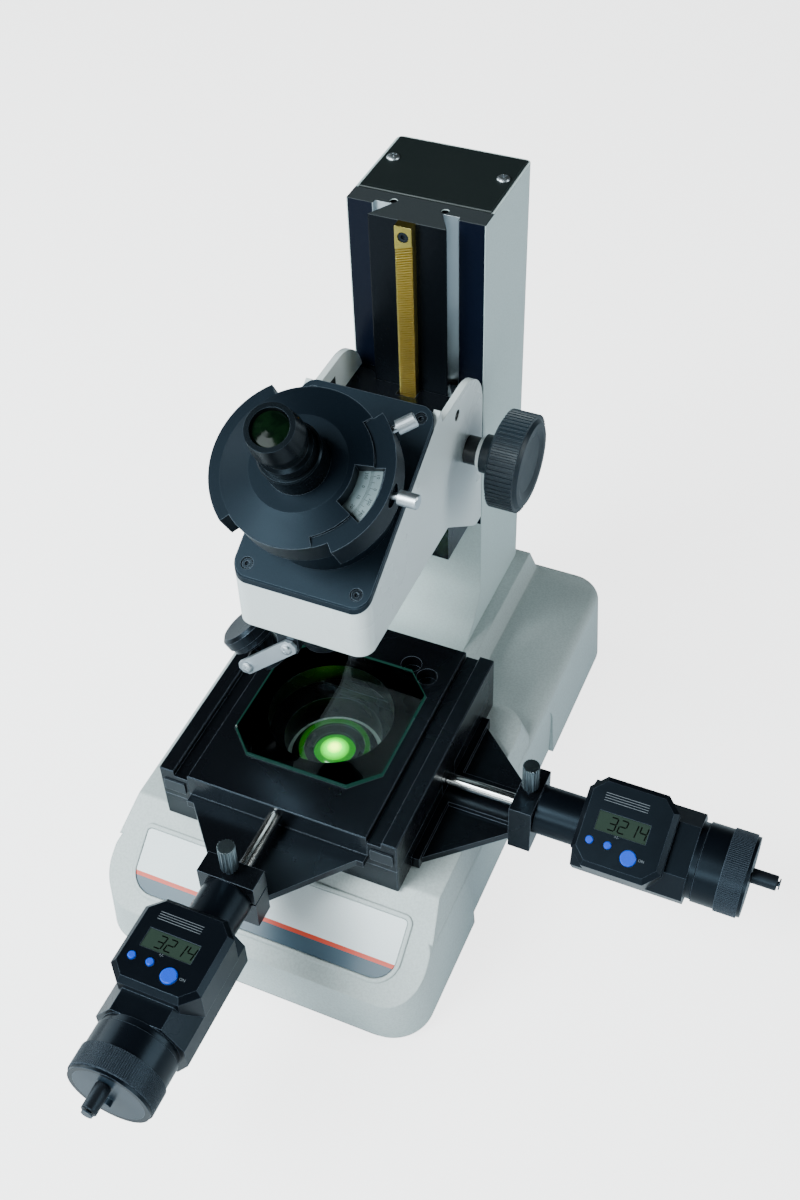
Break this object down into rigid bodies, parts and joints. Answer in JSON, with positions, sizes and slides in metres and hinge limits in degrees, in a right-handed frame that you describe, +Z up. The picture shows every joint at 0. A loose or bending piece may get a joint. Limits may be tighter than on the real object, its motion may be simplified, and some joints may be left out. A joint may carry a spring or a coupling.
{
  "type": "toolmakers microscope",
  "caption": "Measuring microscope with a sliding glass stage moved by digital micrometers, a protractor eyepiece and a geared head on a column.",
  "frame": {"origin": "point of the bench straight below the optical axis and the centre of the stage at mid travel", "axes": "+X to the operator's right, +Y away from the operator towards the column, +Z up the optical axis"},
  "size_m": [0.3845, 0.517, 0.3892],
  "materials": {
    "base_paint": "off-white wrinkle paint on a light alloy casting",
    "column_paint": "off-white paint with bare ground guide faces",
    "dark_plate": "satin",
    "nameplate_print": "printed foil, blank",
    "steel_plate": "satin",
    "feet_rubber": "matte",
    "black_plastic": "matte",
    "stage_black": "black anodised",
    "iron_black": "black, ground",
    "bright_steel": "ground and polished",
    "rack_brass": "milled",
    "clear_glass": "polished",
    "lamp_housing": "black anodised",
    "meter_black": "satin black enamel",
    "display_window": "clear over a liquid crystal display",
    "button_blue": "satin",
    "disc_grey": "satin",
    "head_white": "gloss paint",
    "head_dark": "satin enamel",
    "scale_grey": "satin with engraved lines"
  },
  "bodies": {
    "base": {"base_casting": "base_paint", "nameplate": "nameplate_print", "bottom_plate": "steel_plate", "rubber_feet": "feet_rubber", "power_inlet": "black_plastic", "contour_lamp": "lamp_housing", "collector_lens": "clear_glass", "column": "column_paint", "column_cover": "dark_plate", "column_screws": "bright_steel", "rack": "rack_brass", "stage_base": "iron_black", "right_bracket": "stage_black", "right_micrometer_body": "meter_black", "right_display": "display_window"},
    "power_switch": {"power_switch": "black_plastic"},
    "dimmer_knob": {"dimmer_knob": "black_plastic"},
    "x_slide": {"saddle": "stage_black", "guide_covers": "bright_steel", "front_bracket": "stage_black", "front_micrometer_body": "meter_black", "front_display": "display_window", "right_spindle": "bright_steel"},
    "y_slide": {"top_plate": "stage_black", "stage_glass": "clear_glass", "front_spindle": "bright_steel"},
    "right_thimble": {"right_thimble": "meter_black", "right_end_disc": "disc_grey"},
    "front_thimble": {"front_thimble": "meter_black", "front_end_disc": "disc_grey"},
    "right_crank": {"right_crank_handle": "black_plastic"},
    "front_crank": {"front_crank_handle": "black_plastic"},
    "right_clamp": {"right_clamp_screw": "bright_steel"},
    "front_clamp": {"front_clamp_screw": "bright_steel"},
    "head": {"carriage": "stage_black", "gib": "bright_steel", "head_housing": "head_white", "head_cover": "head_dark", "head_cover_screws": "bright_steel", "protractor_base": "head_dark", "angle_scale": "scale_grey", "objective": "lamp_housing", "prism": "clear_glass", "lamp_lug": "stage_black"},
    "focus_drive": {"pinion_shaft": "bright_steel", "focus_knob": "black_plastic"},
    "protractor": {"protractor_housing": "head_dark", "eyepiece_tube": "head_dark"},
    "eyepiece": {"eyepiece": "black_plastic", "eye_lens": "clear_glass"},
    "vernier_clamp": {"vernier_clamp_screw": "bright_steel"},
    "dial_lock": {"dial_lock_screw": "bright_steel"},
    "lamp_arm": {"lamp_arm": "bright_steel"},
    "surface_lamp": {"surface_lamp": "lamp_housing"},
    "right_preset_button": {"right_preset_button": "button_blue"},
    "right_sign_button": {"right_sign_button": "button_blue"},
    "right_zero_button": {"right_zero_button": "button_blue"},
    "front_preset_button": {"front_preset_button": "button_blue"},
    "front_sign_button": {"front_sign_button": "button_blue"},
    "front_zero_button": {"front_zero_button": "button_blue"}
  },
  "joints": [
    {"name": "right_thimble_turn", "type": "hinge", "parent": "base", "child": "right_thimble", "pos_m": [0.076, 0, 0.0975], "axis": [1, 0, 0], "range_deg": [-9000, 9000]},
    {"name": "x_slide", "type": "slide", "parent": "base", "child": "x_slide", "axis": [1, 0, 0], "range_m": [-0.025, 0.025]},
    {"name": "front_thimble_turn", "type": "hinge", "parent": "x_slide", "child": "front_thimble", "pos_m": [0, -0.076, 0.1175], "axis": [0, 1, 0], "range_deg": [-9000, 9000]},
    {"name": "y_slide", "type": "slide", "parent": "x_slide", "child": "y_slide", "axis": [0, 1, 0], "range_m": [-0.025, 0.025]},
    {"name": "right_crank_spin", "type": "hinge", "parent": "right_thimble", "child": "right_crank", "pos_m": [0.2, -0.00516, 0.10721], "axis": [1, 0, 0], "continuous": true},
    {"name": "front_crank_spin", "type": "hinge", "parent": "front_thimble", "child": "front_crank", "pos_m": [0, -0.2, 0.1285], "axis": [0, -1, 0], "continuous": true},
    {"name": "right_clamp_turn", "type": "hinge", "parent": "base", "child": "right_clamp", "pos_m": [0.1278, 0, 0.1121], "axis": [0, 0, 1], "range_deg": [0, 360]},
    {"name": "front_clamp_turn", "type": "hinge", "parent": "x_slide", "child": "front_clamp", "pos_m": [0, -0.1278, 0.1321], "axis": [0, 0, 1], "range_deg": [0, 360]},
    {"name": "head_slide", "type": "slide", "parent": "base", "child": "head", "axis": [0, 0, 1], "range_m": [-0.005, 0.11]},
    {"name": "focus_knob_turn", "type": "hinge", "parent": "head", "child": "focus_drive", "pos_m": [0, 0.118, 0.252], "axis": [-1, 0, 0], "range_deg": [-36, 788]},
    {"name": "protractor_turn", "type": "hinge", "parent": "head", "child": "protractor", "pos_m": [0, 0.01945, 0.279], "axis": [0, -0.5, 0.866], "continuous": true},
    {"name": "eyepiece_focus", "type": "hinge", "parent": "protractor", "child": "eyepiece", "pos_m": [0, 0.01945, 0.279], "axis": [0, -0.5, 0.866], "range_deg": [-180, 180]},
    {"name": "vernier_clamp_turn", "type": "hinge", "parent": "protractor", "child": "vernier_clamp", "pos_m": [0.0494, -0.0038, 0.31927], "axis": [1, 0, 0], "range_deg": [0, 360]},
    {"name": "dial_lock_turn", "type": "hinge", "parent": "protractor", "child": "dial_lock", "pos_m": [0.03671, 0.02483, 0.3358], "axis": [0.7431, 0.5795, 0.3346], "range_deg": [0, 360]},
    {"name": "lamp_arm_swing", "type": "hinge", "parent": "head", "child": "lamp_arm", "pos_m": [-0.0099, -0.0255, 0.2043], "axis": [0, 1, 0], "range_deg": [-8, 18]},
    {"name": "surface_lamp_tilt", "type": "hinge", "parent": "lamp_arm", "child": "surface_lamp", "pos_m": [-0.0368, -0.0255, 0.1783], "axis": [0, 1, 0], "range_deg": [-25, 25]},
    {"name": "power_switch_rock", "type": "hinge", "parent": "base", "child": "power_switch", "pos_m": [-0.008, 0.2245, 0.036], "axis": [1, 0, 0], "range_deg": [-16, 0]},
    {"name": "dimmer_turn", "type": "hinge", "parent": "base", "child": "dimmer_knob", "pos_m": [0.042, 0.2265, 0.036], "axis": [0, 1, 0], "range_deg": [-135, 135]},
    {"name": "right_preset_button_press", "type": "slide", "parent": "base", "child": "right_preset_button", "axis": [0, 0.4695, -0.8829], "range_m": [0, 0.0008], "stiffness_N_per_m": 600},
    {"name": "right_sign_button_press", "type": "slide", "parent": "base", "child": "right_sign_button", "axis": [0, 0.4695, -0.8829], "range_m": [0, 0.0008], "stiffness_N_per_m": 600},
    {"name": "right_zero_button_press", "type": "slide", "parent": "base", "child": "right_zero_button", "axis": [0, 0.4695, -0.8829], "range_m": [0, 0.0008], "stiffness_N_per_m": 600},
    {"name": "front_preset_button_press", "type": "slide", "parent": "x_slide", "child": "front_preset_button", "axis": [0, 0, -1], "range_m": [0, 0.0008], "stiffness_N_per_m": 600},
    {"name": "front_sign_button_press", "type": "slide", "parent": "x_slide", "child": "front_sign_button", "axis": [0, 0, -1], "range_m": [0, 0.0008], "stiffness_N_per_m": 600},
    {"name": "front_zero_button_press", "type": "slide", "parent": "x_slide", "child": "front_zero_button", "axis": [0, 0, -1], "range_m": [0, 0.0008], "stiffness_N_per_m": 600}
  ],
  "couplings": [
    {"joint": "right_thimble_turn", "follows": "x_slide", "rad_per_m": 6283.2},
    {"joint": "front_thimble_turn", "follows": "y_slide", "rad_per_m": 6283.2},
    {"joint": "focus_knob_turn", "follows": "head_slide", "rad_per_m": 125}
  ]
}
